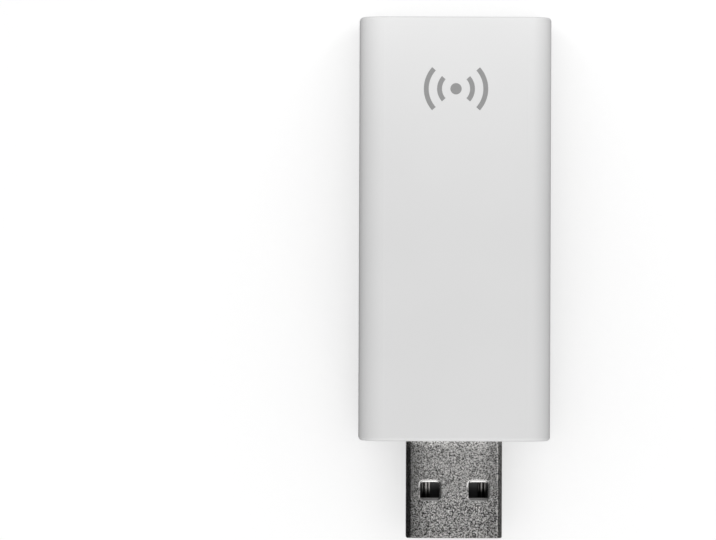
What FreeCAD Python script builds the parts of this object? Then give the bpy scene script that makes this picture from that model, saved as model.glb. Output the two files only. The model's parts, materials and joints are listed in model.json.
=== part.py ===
"""A USB radio stick for a smart home hub, in millimetres.

Two white covers snap together round a circuit board. The board carries a radio chip under a
metal can, a USB bridge chip, a regulator and a chip antenna. A folded steel USB-A plug is held
in the end wall of the case and soldered to the board.

The stick lies on its back. +Z points out of the front cover, the plug points along -Y, and the
origin is the middle of the whole length on the surface that the rear cover rests on.
"""

import FreeCAD, Part

import math
import os

Vector = FreeCAD.Vector
ALONG_Y = Vector(0, 1, 0)
ALONG_Z = Vector(0, 0, 1)

# Case, outside
BODY_LENGTH = 52.85
BODY_WIDTH = 24.0
BODY_THICKNESS = 10.0
LONG_EDGE_RADIUS = 3.0
END_EDGE_RADIUS = 0.45
DRAFT_DEG = 1.0

# Case, walls and the joint between the two covers
WALL = 1.5
END_WALL = 1.6
SHADOW_GAP = 0.15
SHADOW_DEPTH = 0.25
LIP_HEIGHT = 1.0
LIP_THICKNESS = 0.65
LIP_FIT = 0.05

# Snap hooks on the long sides of the front cover
HOOKS_PER_SIDE = 2
HOOK_SPACING = 27.0
HOOK_WIDTH = 4.0
HOOK_THICKNESS = 0.8
HOOK_ROOT = 2.0
HOOK_BARB = 0.45
HOOK_BARB_HEIGHT = 0.5
HOOK_BELOW_LIP = 0.8
HOOK_FIT = 0.08

# Plug shell, folded from sheet steel
PLUG_EXPOSED = 12.2
PLUG_BEHIND_WALL = 4.95
PLUG_WIDTH = 12.0
PLUG_HEIGHT = 4.5
SHEET = 0.3
BEND_RADIUS = 0.65
TIP_BEVEL = 0.12
PLUG_FIT = 0.05

# Windows in both broad sides of the plug shell
WINDOW_WIDTH = 2.45
WINDOW_LENGTH = 1.95
WINDOW_FROM_TIP = 5.05
WINDOW_SPACING = 6.05
WINDOW_CORNER_RADIUS = 0.45
WINDOW_LEAD_IN = 0.3
WINDOW_LEAD_DEPTH = 0.2

# Dovetailed seam along the underside of the plug shell
SEAM_GAP = 0.05
DOVETAILS_FROM_TIP = (3.1, 10.2, 16.0)
DOVETAIL_LENGTH = 1.5
DOVETAIL_REACH = 1.1
DOVETAIL_FLARE = 0.25

# Solder legs on the sides of the plug shell
LEG_WIDTH = 1.2
LEG_REACH = 1.1
LEG_RISE = 0.7
LEG_BELOW_BOARD = 0.5
LEG_FIT = 0.1
LEG_FROM_REAR = 1.3
LEG_FROM_WALL = 1.05
LEG_BEND = 0.15

# Lock between the plug shell and its insulator
LOCK_WIDTH = 2.0
LOCK_LENGTH = 1.2
LOCK_FROM_REAR = 1.6
LOCK_SINK = 0.05

# Insulator and contacts
TONGUE_THICKNESS = 1.95
TONGUE_SETBACK = 0.5
TONGUE_BEVEL = 0.35
MOUTH_DEPTH = 9.2
INSULATOR_TAIL = 0.25
INSULATOR_FIT = 0.03
CONTACT_WIDTH = 1.0
CONTACT_THICKNESS = 0.3
CONTACT_SINK = 0.05
CONTACT_CREST_WIDTH = 0.7
CONTACT_CREST_HEIGHT = 0.15
CONTACT_NOSE = 0.25
OUTER_CONTACT_X = 3.5
INNER_CONTACT_X = 1.0
OUTER_CONTACT_FROM_TIP = 1.1
INNER_CONTACT_FROM_TIP = 2.1
TAIL_STEP = 0.15
TAIL_LENGTH = 1.6

# Circuit board
BOARD_THICKNESS = 1.0
BOARD_SIDE_GAP = 0.3
BOARD_NEAR_GAP = 0.3
BOARD_FAR_GAP = 0.6
BOARD_CORNER_RADIUS = 1.0
BOARD_NOTCH_FIT = 0.15

# Posts that carry and locate the board
POST_DIAMETER = 2.6
PEG_DIAMETER = 1.0
PEG_FIT = 0.05
PEG_RISE = 0.8
POST_INSET = 1.9
NEAR_POST_FROM_NOTCH = 2.2
FAR_POST_FROM_END = 6.4
RIB_THICKNESS = 0.8
RIB_LENGTH = 14.0
RIB_DEPTH = 1.0
SADDLE_LENGTH = 10.0
SADDLE_FROM_WALL = 1.8

# Radio can
CAN_LENGTH = 14.0
CAN_WIDTH = 13.6
CAN_HEIGHT = 1.7
CAN_SHEET = 0.2
CAN_FLANGE = 0.9
CAN_SKIRT = 1.1
CAN_SLIT = 0.4
CAN_FINGERS = 3
CAN_GATE_WIDTH = 0.9
CAN_GATE_HEIGHT = 0.25
CAN_FIT = 0.02

# Bodies of the electronic parts: length, width, height
RADIO_CHIP = (7.0, 7.0, 0.85)
BRIDGE_CHIP = (5.0, 5.0, 0.8)
CRYSTAL = (2.5, 2.0, 0.6)
ANTENNA = (5.0, 1.6, 1.1)
LARGE_CHIP_PART = (2.0, 1.25, 1.25)
MIDDLE_CHIP_PART = (1.6, 0.8, 0.8)
SMALL_CHIP_PART = (1.0, 0.5, 0.5)
SOT_BODY = (2.9, 1.6, 1.1)
SOT_LEAD_REACH = 0.6
SOT_LEAD_WIDTH = 0.4
SOT_LEAD_THICKNESS = 0.15
SOT_LEAD_PITCH = 0.95
SOT_TAPER = 0.12
CHIP_PART_CAP = 0.25
CHIP_PART_CAP_PROUD = 0.02
PIN_MARK = 0.4

# Spaces between the electronic parts
PART_GAP = 0.5
ROW_PITCH = 1.2
PROTECTOR_FROM_TAILS = 1.3
RADIO_CHIP_OFFSET = 1.6
ANTENNA_FROM_END = 1.6

# Places along the case, worked out from the dimensions above
TOTAL_LENGTH = BODY_LENGTH + PLUG_EXPOSED
TIP_Y = -TOTAL_LENGTH / 2
NEAR_Y = TIP_Y + PLUG_EXPOSED
FAR_Y = NEAR_Y + BODY_LENGTH
CAVITY_NEAR_Y = NEAR_Y + END_WALL
CAVITY_FAR_Y = FAR_Y - END_WALL
CAVITY_X = BODY_WIDTH / 2 - WALL
PARTING_Z = BODY_THICKNESS / 2
FLOOR_Z = WALL
CEILING_Z = BODY_THICKNESS - WALL

# Places in the plug
PLUG_Z = PARTING_Z
PLUG_BOTTOM_Z = PLUG_Z - PLUG_HEIGHT / 2
PLUG_TOP_Z = PLUG_Z + PLUG_HEIGHT / 2
PLUG_REAR_Y = CAVITY_NEAR_Y + PLUG_BEHIND_WALL
TONGUE_TOP_Z = PLUG_BOTTOM_Z + SHEET + TONGUE_THICKNESS
CONTACT_TOP_Z = TONGUE_TOP_Z - CONTACT_SINK
CONTACT_BOTTOM_Z = CONTACT_TOP_Z - CONTACT_THICKNESS
INSULATOR_REAR_Y = PLUG_REAR_Y + INSULATOR_TAIL
MOUTH_END_Y = TIP_Y + MOUTH_DEPTH
TAIL_BEND_Y = INSULATOR_REAR_Y + CONTACT_THICKNESS
TAIL_END_Y = TAIL_BEND_Y + TAIL_LENGTH
SADDLE_Y = CAVITY_NEAR_Y + SADDLE_FROM_WALL

# Places on the board
BOARD_TOP_Z = CONTACT_BOTTOM_Z - TAIL_STEP
BOARD_BOTTOM_Z = BOARD_TOP_Z - BOARD_THICKNESS
BOARD_HALF_WIDTH = CAVITY_X - HOOK_THICKNESS - BOARD_SIDE_GAP
BOARD_NEAR_Y = CAVITY_NEAR_Y + BOARD_NEAR_GAP
BOARD_FAR_Y = CAVITY_FAR_Y - BOARD_FAR_GAP
NOTCH_END_Y = INSULATOR_REAR_Y + BOARD_NOTCH_FIT
POST_X = BOARD_HALF_WIDTH - POST_INSET
NEAR_POST_Y = NOTCH_END_Y + NEAR_POST_FROM_NOTCH
FAR_POST_Y = BOARD_FAR_Y - FAR_POST_FROM_END
HOOK_MIDDLE_Y = (NEAR_POST_Y + FAR_POST_Y) / 2
HOOK_CATCH_Z = PARTING_Z - LIP_HEIGHT - HOOK_BELOW_LIP
HOOK_TIP_Z = HOOK_CATCH_Z - HOOK_BARB_HEIGHT

# Places of the electronic parts that are counted from the plug
SOT_REACH = SOT_BODY[1] / 2 + SOT_LEAD_REACH
PROTECTOR_Y = TAIL_END_Y + PROTECTOR_FROM_TAILS + SOT_REACH
FERRITE_Y = TAIL_END_Y + PART_GAP + MIDDLE_CHIP_PART[0] / 2
SERIES_Y = PROTECTOR_Y + SOT_REACH + PART_GAP + SMALL_CHIP_PART[0] / 2
BRIDGE_Y = SERIES_Y + SMALL_CHIP_PART[0] / 2 + PART_GAP + BRIDGE_CHIP[1] / 2
BRIDGE_ROW_X = BRIDGE_CHIP[0] / 2 + PART_GAP + SMALL_CHIP_PART[0] / 2
REGULATOR_X = -(BRIDGE_ROW_X + SMALL_CHIP_PART[0] / 2 + PART_GAP + SOT_BODY[0] / 2)
REGULATOR_Y = SERIES_Y
OUTPUT_CAPACITOR_Y = REGULATOR_Y + SOT_REACH + PART_GAP + LARGE_CHIP_PART[1] / 2

# Places of the parts that are counted from the far end, and of the can between both groups
ANTENNA_Y = BOARD_FAR_Y - ANTENNA_FROM_END
MATCHING_Y = ANTENNA_Y - ANTENNA[1] / 2 - 2 * PART_GAP - SMALL_CHIP_PART[0] / 2
CAN_Y = (BRIDGE_Y + BRIDGE_CHIP[1] / 2 + FAR_POST_Y - POST_DIAMETER / 2) / 2
RADIO_Y = CAN_Y - RADIO_CHIP_OFFSET
RADIO_ROW_X = RADIO_CHIP[0] / 2 + PART_GAP + SMALL_CHIP_PART[0] / 2
RADIO_FAR_Y = RADIO_Y + RADIO_CHIP[1] / 2 + PART_GAP


def block(x0, x1, y0, y1, z0, z1):
    """Box between two corners."""
    return Part.makeBox(x1 - x0, y1 - y0, z1 - z0, Vector(x0, y0, z0))


def centred_block(x, y, z0, size):
    """Box of a length along X, a width along Y and a height, standing at z0 on its middle."""
    length, width, height = size
    return block(x - length / 2, x + length / 2, y - width / 2, y + width / 2, z0, z0 + height)


def cylinder(x, y, z0, z1, diameter):
    """Upright cylinder."""
    return Part.makeCylinder(diameter / 2, z1 - z0, Vector(x, y, z0), ALONG_Z)


def prism(points, direction):
    """Straight-sided outline pushed along a direction."""
    return Part.Face(Part.makePolygon(list(points) + [points[0]])).extrude(direction)


def join(shapes):
    """One clean solid from several that touch or overlap."""
    first = shapes[0]
    if len(shapes) == 1:
        return first
    return first.fuse(list(shapes[1:])).removeSplitter()


def edges_where(shape, test):
    """The edges whose every end point passes the test."""
    return [e for e in shape.Edges if all(test(v.Point) for v in e.Vertexes)]


def near(a, b, within=1e-4):
    """Whether two lengths are the same."""
    return abs(a - b) < within


def half_section(side, half_width, depth, radius):
    """Half of the case's cross-section at y = 0, on one side of the parting plane.

    side is 1 for the front half and -1 for the rear half. The side walls lean inwards by the
    draft angle, and an arc joins each to the flat broad face.
    """
    lean = math.radians(DRAFT_DEG)
    along = (depth - radius + radius * math.sin(lean)) / math.cos(lean)
    wall_x = half_width - along * math.sin(lean)
    wall_z = along * math.cos(lean)
    centre_x = wall_x - radius * math.cos(lean)
    centre_z = depth - radius
    turn = (lean + math.pi / 2) / 2
    middle_x = centre_x + radius * math.cos(turn)
    middle_z = centre_z + radius * math.sin(turn)

    def place(x, z):
        return Vector(x, 0, PARTING_Z + side * z)

    def line(a, b):
        return Part.LineSegment(place(*a), place(*b)).toShape()

    def arc(a, b, c):
        return Part.Arc(place(*a), place(*b), place(*c)).toShape()

    right = (half_width, 0)
    left = (-half_width, 0)
    right_low = (wall_x, wall_z)
    left_low = (-wall_x, wall_z)
    right_high = (centre_x, depth)
    left_high = (-centre_x, depth)
    edges = [
        line(left, right),
        line(right, right_low),
        arc(right_low, (middle_x, middle_z), right_high),
        line(right_high, left_high),
        arc(left_high, (-middle_x, middle_z), left_low),
        line(left_low, left),
    ]
    return Part.Face(Part.Wire(edges))


def half_form(side, inset, y0, y1):
    """Half of the case's form between two ends, inset from the outer skin."""
    section = half_section(
        side, BODY_WIDTH / 2 - inset, BODY_THICKNESS / 2 - inset, LONG_EDGE_RADIUS - inset
    )
    section.translate(Vector(0, y0, 0))
    return section.extrude(Vector(0, y1 - y0, 0))


def rounded_bar(width, height, radius, y0, y1):
    """Bar along Y with rounded long edges, on the middle line of the plug."""
    bar = block(-width / 2, width / 2, y0, y1, PLUG_Z - height / 2, PLUG_Z + height / 2)
    return bar.makeFillet(radius, [e for e in bar.Edges if is_along_y(e)])


def is_along_y(edge):
    """Whether a straight edge runs along Y."""
    first, last = edge.Vertexes[0].Point, edge.Vertexes[-1].Point
    return near(first.x, last.x) and near(first.z, last.z)


def parting_ring(outwards_from, outwards_to, z0, z1):
    """Ring round the cavity, between two distances out from its wall."""

    def plate(out):
        return block(
            -CAVITY_X - out, CAVITY_X + out, CAVITY_NEAR_Y - out, CAVITY_FAR_Y + out, z0, z1
        )

    return plate(outwards_to).cut(plate(outwards_from))


def plug_opening():
    """Room for the plug through the end wall, shared by both covers."""
    return rounded_bar(
        PLUG_WIDTH + 2 * PLUG_FIT,
        PLUG_HEIGHT + 2 * PLUG_FIT,
        BEND_RADIUS + PLUG_FIT,
        NEAR_Y - PLUG_FIT,
        CAVITY_NEAR_Y + PLUG_FIT,
    )


def cover_shell(side):
    """Open tray that both covers start from: rounded outside, an even wall inside."""
    outside = half_form(side, 0, NEAR_Y, FAR_Y)
    end_edges = edges_where(outside, lambda p: near(p.y, NEAR_Y))
    end_edges += edges_where(outside, lambda p: near(p.y, FAR_Y))
    rounded = [e for e in end_edges if not near(e.CenterOfMass.z, PARTING_Z)]
    outside = outside.makeFillet(END_EDGE_RADIUS, rounded)
    return outside.cut(half_form(side, WALL, CAVITY_NEAR_Y, CAVITY_FAR_Y))


def hook_places():
    """Side and middle of each snap hook."""
    first = HOOK_MIDDLE_Y - HOOK_SPACING * (HOOKS_PER_SIDE - 1) / 2
    return [(side, first + n * HOOK_SPACING) for side in (-1, 1) for n in range(HOOKS_PER_SIDE)]


def post_places():
    """Middle of each board post."""
    return [(side * POST_X, y) for y in (NEAR_POST_Y, FAR_POST_Y) for side in (-1, 1)]


def peg_places():
    """Middle of each locating peg: two of the posts, at opposite corners."""
    return [(-POST_X, NEAR_POST_Y), (POST_X, FAR_POST_Y)]


def snap_hook(side, y):
    """Springy tab that reaches down past the board, with a barb that faces the side wall."""
    inner = CAVITY_X - HOOK_THICKNESS
    outer = CAVITY_X - HOOK_FIT
    rooted = CAVITY_X + WALL / 4
    root_z = PARTING_Z + HOOK_ROOT
    outline = [
        (inner, root_z),
        (inner, HOOK_TIP_Z),
        (outer - HOOK_FIT, HOOK_TIP_Z),
        (CAVITY_X + HOOK_BARB, HOOK_CATCH_Z - HOOK_FIT),
        (CAVITY_X + HOOK_BARB, HOOK_CATCH_Z),
        (outer, HOOK_CATCH_Z),
        (outer, PARTING_Z - LIP_HEIGHT),
        (rooted, PARTING_Z - LIP_HEIGHT),
        (rooted, root_z + HOOK_THICKNESS),
    ]
    points = [Vector(side * x, y - HOOK_WIDTH / 2, z) for x, z in outline]
    return prism(points, Vector(0, HOOK_WIDTH, 0))


def hook_pocket(side, y):
    """Recess in the side wall of the rear cover that the barb catches in."""
    across = sorted((side * (CAVITY_X - HOOK_THICKNESS), side * (CAVITY_X + HOOK_BARB + HOOK_FIT)))
    half = HOOK_WIDTH / 2 + HOOK_FIT
    low = HOOK_TIP_Z - HOOK_FIT
    return block(*across, y - half, y + half, low, HOOK_CATCH_Z + HOOK_FIT)


def front_cover():
    """Front cover: smooth tray with the lip, the snap hooks and the posts that press the board."""
    cover = cover_shell(1)
    rooted_z = PARTING_Z + LIP_THICKNESS / 2
    lip = parting_ring(0, LIP_THICKNESS, PARTING_Z - LIP_HEIGHT, rooted_z)
    pieces = [cover, lip]
    pieces += [snap_hook(side, y) for side, y in hook_places()]
    rooted_post_z = CEILING_Z + WALL / 4
    for x, y in post_places():
        pieces.append(cylinder(x, y, BOARD_TOP_Z, rooted_post_z, POST_DIAMETER))
    rib_y = (HOOK_MIDDLE_Y + FAR_POST_Y) / 2
    for y in (HOOK_MIDDLE_Y, rib_y):
        rib = (RIB_LENGTH, RIB_THICKNESS, RIB_DEPTH + WALL / 4)
        pieces.append(centred_block(0, y, CEILING_Z - RIB_DEPTH, rib))
    saddle = (SADDLE_LENGTH, RIB_THICKNESS, rooted_post_z - PLUG_TOP_Z)
    pieces.append(centred_block(0, SADDLE_Y, PLUG_TOP_Z, saddle))
    cover = join(pieces)
    for x, y in peg_places():
        peg_room = cylinder(
            x, y, BOARD_TOP_Z, BOARD_TOP_Z + PEG_RISE + PEG_FIT, PEG_DIAMETER + 4 * PEG_FIT
        )
        cover = cover.cut(peg_room)
    return cover.cut(plug_opening())


def rear_cover():
    """Rear cover: smooth tray with the rebate, the hook pockets, and posts with locating pegs."""
    cover = cover_shell(-1)
    rooted_z = FLOOR_Z - WALL / 4
    pieces = [cover]
    for x, y in post_places():
        pieces.append(cylinder(x, y, rooted_z, BOARD_BOTTOM_Z, POST_DIAMETER))
    for x, y in peg_places():
        pieces.append(cylinder(x, y, rooted_z, BOARD_TOP_Z + PEG_RISE, PEG_DIAMETER))
    rib = (RIB_LENGTH, RIB_THICKNESS, BOARD_BOTTOM_Z - rooted_z)
    for y in (BRIDGE_Y, FAR_POST_Y):
        pieces.append(centred_block(0, y, rooted_z, rib))
    saddle = (SADDLE_LENGTH, RIB_THICKNESS, PLUG_BOTTOM_Z - rooted_z)
    pieces.append(centred_block(0, SADDLE_Y, rooted_z, saddle))
    cover = join(pieces)
    rebate_low = PARTING_Z - LIP_HEIGHT - LIP_FIT
    rebate = parting_ring(-LIP_THICKNESS, LIP_THICKNESS + LIP_FIT, rebate_low, PARTING_Z)
    cover = cover.cut(rebate)
    for side, y in hook_places():
        cover = cover.cut(hook_pocket(side, y))
    return cover.cut(shadow_line()).cut(plug_opening())


def shadow_line():
    """Shallow groove round the outside of the rear cover at the joint between the covers."""
    inner = block(
        -BODY_WIDTH / 2 + SHADOW_DEPTH,
        BODY_WIDTH / 2 - SHADOW_DEPTH,
        NEAR_Y + SHADOW_DEPTH,
        FAR_Y - SHADOW_DEPTH,
        PARTING_Z - SHADOW_GAP,
        PARTING_Z,
    )
    outer = block(
        -BODY_WIDTH / 2 - SHADOW_DEPTH,
        BODY_WIDTH / 2 + SHADOW_DEPTH,
        NEAR_Y - SHADOW_DEPTH,
        FAR_Y + SHADOW_DEPTH,
        PARTING_Z - SHADOW_GAP,
        PARTING_Z,
    )
    return outer.cut(inner)


def window_outline(x):
    """Outline of one window at z = 0: square corners towards the tip, round ones towards the case."""
    y0 = TIP_Y + WINDOW_FROM_TIP
    y1 = y0 + WINDOW_LENGTH
    slab = block(x - WINDOW_WIDTH / 2, x + WINDOW_WIDTH / 2, y0, y1, 0, SHEET)
    round_corners = [e for e in slab.Edges if is_upright(e) and near(e.Vertexes[0].Y, y1)]
    slab = slab.makeFillet(WINDOW_CORNER_RADIUS, round_corners)
    return [f for f in slab.Faces if near(f.CenterOfMass.z, 0)][0]


def window_tool(x, side):
    """Cutter for one window, with a slope on the edge towards the case that leads a spring out.

    side is 1 for the top of the plug and -1 for its underside.
    """
    skin_z = PLUG_Z + side * PLUG_HEIGHT / 2
    depth = min(WINDOW_LEAD_DEPTH, 0.9 * SHEET)
    hole = window_outline(x)
    hole.translate(Vector(0, 0, skin_z - side * 2 * SHEET))
    slope = window_outline(x)
    slope.translate(Vector(0, 0, skin_z - side * depth))
    through = hole.extrude(Vector(0, 0, side * 3 * SHEET))
    return join([through, slope.extrude(Vector(0, 2 * WINDOW_LEAD_IN, side * 2 * depth))])


def is_upright(edge):
    """Whether an edge runs along Z."""
    first, last = edge.Vertexes[0].Point, edge.Vertexes[-1].Point
    return near(first.x, last.x) and near(first.y, last.y)


def seam():
    """Thin slit along the underside, which steps sideways round each dovetail."""
    path = [(0, TIP_Y - SEAM_GAP)]
    for centre in DOVETAILS_FROM_TIP:
        y0 = TIP_Y + centre - DOVETAIL_LENGTH / 2
        y1 = y0 + DOVETAIL_LENGTH
        path += [
            (0, y0),
            (DOVETAIL_REACH, y0 - DOVETAIL_FLARE),
            (DOVETAIL_REACH, y1 + DOVETAIL_FLARE),
            (0, y1),
        ]
    path.append((0, PLUG_REAR_Y + SEAM_GAP))
    z0 = PLUG_BOTTOM_Z - SHEET
    height = Vector(0, 0, 3 * SHEET)
    half = SEAM_GAP / 2
    pieces = []
    for (xa, ya), (xb, yb) in zip(path, path[1:]):
        length = math.hypot(xb - xa, yb - ya)
        ux, uy = (xb - xa) / length * half, (yb - ya) / length * half
        corners = [
            Vector(xa - ux - uy, ya - uy + ux, z0),
            Vector(xb + ux - uy, yb + uy + ux, z0),
            Vector(xb + ux + uy, yb + uy - ux, z0),
            Vector(xa - ux + uy, ya - uy - ux, z0),
        ]
        pieces.append(prism(corners, height))
    return join(pieces)


def leg_places():
    """Side and middle of each solder leg."""
    places = (CAVITY_NEAR_Y + LEG_FROM_WALL, PLUG_REAR_Y - LEG_FROM_REAR)
    return [(side, y) for side in (-1, 1) for y in places]


def solder_leg(side, y):
    """Strip that leaves the side of the shell, bends down and passes through the board."""
    root = PLUG_WIDTH / 2 - SHEET / 2
    outer = PLUG_WIDTH / 2 + LEG_REACH
    inner = outer - SHEET
    top = BOARD_TOP_Z + LEG_RISE
    low = BOARD_BOTTOM_Z - LEG_BELOW_BOARD
    outline = [
        (root, top),
        (outer, top),
        (outer, low),
        (inner, low),
        (inner, top - SHEET),
        (root, top - SHEET),
    ]
    points = [Vector(side * x, y - LEG_WIDTH / 2, z) for x, z in outline]
    leg = prism(points, Vector(0, LEG_WIDTH, 0))
    for x, z, radius in ((outer, top, LEG_BEND + SHEET), (inner, top - SHEET, LEG_BEND)):
        bend = edges_where(leg, lambda p: near(p.x, side * x) and near(p.z, z))
        leg = leg.makeFillet(radius, bend)
    return leg


def lock_hole(grow):
    """Rectangle in the top of the plug that the insulator's boss clicks into."""
    y = PLUG_REAR_Y - LOCK_FROM_REAR
    size = (LOCK_WIDTH + 2 * grow, LOCK_LENGTH + 2 * grow, 2 * SHEET)
    return centred_block(0, y, PLUG_TOP_Z - 1.5 * SHEET, size)


def plug_shell():
    """Folded steel shell of the plug: a tube with windows, a seam, legs and a lock hole."""
    outside = rounded_bar(PLUG_WIDTH, PLUG_HEIGHT, BEND_RADIUS, TIP_Y, PLUG_REAR_Y)
    tip_edges = edges_where(outside, lambda p: near(p.y, TIP_Y))
    outside = outside.makeChamfer(TIP_BEVEL, tip_edges)
    inside = rounded_bar(
        PLUG_WIDTH - 2 * SHEET,
        PLUG_HEIGHT - 2 * SHEET,
        BEND_RADIUS - SHEET,
        TIP_Y - SHEET,
        PLUG_REAR_Y + SHEET,
    )
    shell = outside.cut(inside)
    for x in (-WINDOW_SPACING / 2, WINDOW_SPACING / 2):
        for side in (-1, 1):
            shell = shell.cut(window_tool(x, side))
    shell = shell.cut(seam()).cut(lock_hole(0))
    return join([shell] + [solder_leg(side, y) for side, y in leg_places()])


def contact_places():
    """Name, middle and distance from the tip of each contact, in the order that a plug has."""
    return [
        ("contact_ground", -OUTER_CONTACT_X, OUTER_CONTACT_FROM_TIP),
        ("contact_data_plus", -INNER_CONTACT_X, INNER_CONTACT_FROM_TIP),
        ("contact_data_minus", INNER_CONTACT_X, INNER_CONTACT_FROM_TIP),
        ("contact_power", OUTER_CONTACT_X, OUTER_CONTACT_FROM_TIP),
    ]


def plug_insulator():
    """Moulded insulator: a full-height block with a thin tongue that carries the contacts."""
    width = PLUG_WIDTH - 2 * SHEET - 2 * INSULATOR_FIT
    body = rounded_bar(
        width,
        PLUG_HEIGHT - 2 * SHEET,
        BEND_RADIUS,
        TIP_Y + TONGUE_SETBACK,
        INSULATOR_REAR_Y,
    )
    mouth = block(-width, width, TIP_Y, MOUTH_END_Y, TONGUE_TOP_Z, PLUG_TOP_Z)
    body = body.cut(mouth)
    nose = edges_where(
        body, lambda p: near(p.y, TIP_Y + TONGUE_SETBACK) and near(p.z, TONGUE_TOP_Z)
    )
    body = body.makeChamfer(TONGUE_BEVEL, nose)
    boss = lock_hole(-LOCK_SINK)
    boss.translate(Vector(0, 0, -0.5 * SHEET - LOCK_SINK))
    body = join([body, boss])
    half = CONTACT_WIDTH / 2 + INSULATOR_FIT
    for _, x, from_tip in contact_places():
        front = TIP_Y + from_tip
        open_groove = block(
            x - half, x + half, front, MOUTH_END_Y, CONTACT_BOTTOM_Z, TONGUE_TOP_Z + SHEET
        )
        tunnel = block(
            x - half, x + half, front, INSULATOR_REAR_Y + SHEET, CONTACT_BOTTOM_Z, CONTACT_TOP_Z
        )
        body = body.cut(open_groove).cut(tunnel)
    return body


def contact_shoulders(x, front):
    """What is pressed away beside the rounded crest along the exposed part of a contact."""
    half, rise = CONTACT_CREST_WIDTH / 2, CONTACT_CREST_HEIGHT
    radius = (half**2 + rise**2) / (2 * rise)
    start = Vector(x, front - CONTACT_NOSE, CONTACT_TOP_Z - radius)
    crest = Part.makeCylinder(radius, MOUTH_END_Y - start.y, start, ALONG_Y)
    shoulder_z = CONTACT_TOP_Z - rise
    across = (x - CONTACT_WIDTH / 2, x + CONTACT_WIDTH / 2)
    return block(*across, start.y, MOUTH_END_Y, shoulder_z, CONTACT_TOP_Z).cut(crest)


def contact(x, from_tip):
    """Stamped strip: crested in its groove, stepped down behind the insulator onto the board."""
    front = TIP_Y + from_tip
    top, low = CONTACT_TOP_Z, CONTACT_BOTTOM_Z
    outline = [
        (front, low),
        (front, top - CONTACT_NOSE),
        (front + CONTACT_NOSE, top),
        (TAIL_BEND_Y, top),
        (TAIL_BEND_Y + TAIL_STEP, top - TAIL_STEP),
        (TAIL_END_Y, top - TAIL_STEP),
        (TAIL_END_Y, low - TAIL_STEP),
        (TAIL_BEND_Y, low - TAIL_STEP),
        (TAIL_BEND_Y - TAIL_STEP, low),
    ]
    points = [Vector(x - CONTACT_WIDTH / 2, y, z) for y, z in outline]
    strip = prism(points, Vector(CONTACT_WIDTH, 0, 0))
    return strip.cut(contact_shoulders(x, front))


def circuit_board():
    """Board with a notch for the plug, slots for its legs and holes for the pegs."""
    board = block(
        -BOARD_HALF_WIDTH,
        BOARD_HALF_WIDTH,
        BOARD_NEAR_Y,
        BOARD_FAR_Y,
        BOARD_BOTTOM_Z,
        BOARD_TOP_Z,
    )
    corners = [e for e in board.Edges if is_upright(e)]
    board = board.makeFillet(BOARD_CORNER_RADIUS, corners)
    notch_half = PLUG_WIDTH / 2 + BOARD_NOTCH_FIT
    notch = block(
        -notch_half, notch_half, NEAR_Y, NOTCH_END_Y, BOARD_BOTTOM_Z - SHEET, BOARD_TOP_Z + SHEET
    )
    board = board.cut(notch)
    for side, y in leg_places():
        outer = PLUG_WIDTH / 2 + LEG_REACH + LEG_FIT
        across = sorted((side * outer, side * (outer - SHEET - 2 * LEG_FIT)))
        half = LEG_WIDTH / 2 + LEG_FIT
        slot = block(*across, y - half, y + half, BOARD_BOTTOM_Z, BOARD_TOP_Z)
        board = board.cut(slot)
    for x, y in peg_places():
        hole = cylinder(x, y, BOARD_BOTTOM_Z, BOARD_TOP_Z, PEG_DIAMETER + 2 * PEG_FIT)
        board = board.cut(hole)
    return board


def square_chip(x, y, size):
    """Flat leadless chip whose corner beside the first pin is cut off."""
    length, width, _ = size
    body = centred_block(x, y, BOARD_TOP_Z, size)

    def at_first_pin(p):
        return near(p.x, x - length / 2) and near(p.y, y + width / 2)

    return body.makeChamfer(PIN_MARK, edges_where(body, at_first_pin))


def chip_part(x, y, size, upright=False):
    """Ceramic chip with a metal cap on each end, along X, or along Y if upright."""
    length, width, height = size
    proud = CHIP_PART_CAP_PROUD
    cap_length = length * CHIP_PART_CAP
    pieces = [
        centred_block(x, y, BOARD_TOP_Z + proud, (length, width - 2 * proud, height - 2 * proud))
    ]
    for side in (-1, 1):
        cap_x = x + side * (length - cap_length) / 2
        pieces.append(centred_block(cap_x, y, BOARD_TOP_Z, (cap_length, width, height)))
    part = join(pieces)
    if upright:
        part.rotate(Vector(x, y, 0), ALONG_Z, 90)
    return part


def gull_wing_lead(x, y, direction):
    """Lead that leaves the body at half height, steps down and lies on the board."""
    height = SOT_BODY[2]
    t = SOT_LEAD_THICKNESS
    start = y - direction * t
    knee = y + direction * SOT_LEAD_REACH / 3
    end = y + direction * SOT_LEAD_REACH
    z0 = BOARD_TOP_Z
    z1 = BOARD_TOP_Z + height / 2
    outline = [
        (start, z1 - t),
        (start, z1),
        (knee + direction * t, z1),
        (knee + direction * t, z0 + t),
        (end, z0 + t),
        (end, z0),
        (knee, z0),
        (knee, z1 - t),
    ]
    points = [Vector(x - SOT_LEAD_WIDTH / 2, py, pz) for py, pz in outline]
    return prism(points, Vector(SOT_LEAD_WIDTH, 0, 0))


def leaded_chip(x, y, near_leads, far_leads):
    """Small moulded chip with gull-wing leads on its two long sides."""
    length, width, height = SOT_BODY
    z0 = BOARD_TOP_Z + SOT_LEAD_THICKNESS / 2
    middle = BOARD_TOP_Z + height / 2
    top = BOARD_TOP_Z + height

    def outline(inset, z):
        corners = [(-1, -1), (1, -1), (1, 1), (-1, 1)]
        points = [
            Vector(x + sx * (length / 2 - inset), y + sy * (width / 2 - inset), z)
            for sx, sy in corners
        ]
        return Part.makePolygon(points + [points[0]])

    upper = Part.makeLoft([outline(0, middle), outline(SOT_TAPER, top)], True, True)
    lower = Part.makeLoft([outline(SOT_TAPER, z0), outline(0, middle)], True, True)
    pieces = [upper, lower]
    for places, direction in ((near_leads, -1), (far_leads, 1)):
        for place in places:
            edge_y = y + direction * width / 2
            pieces.append(gull_wing_lead(x + place * SOT_LEAD_PITCH, edge_y, direction))
    return join(pieces)


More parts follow.
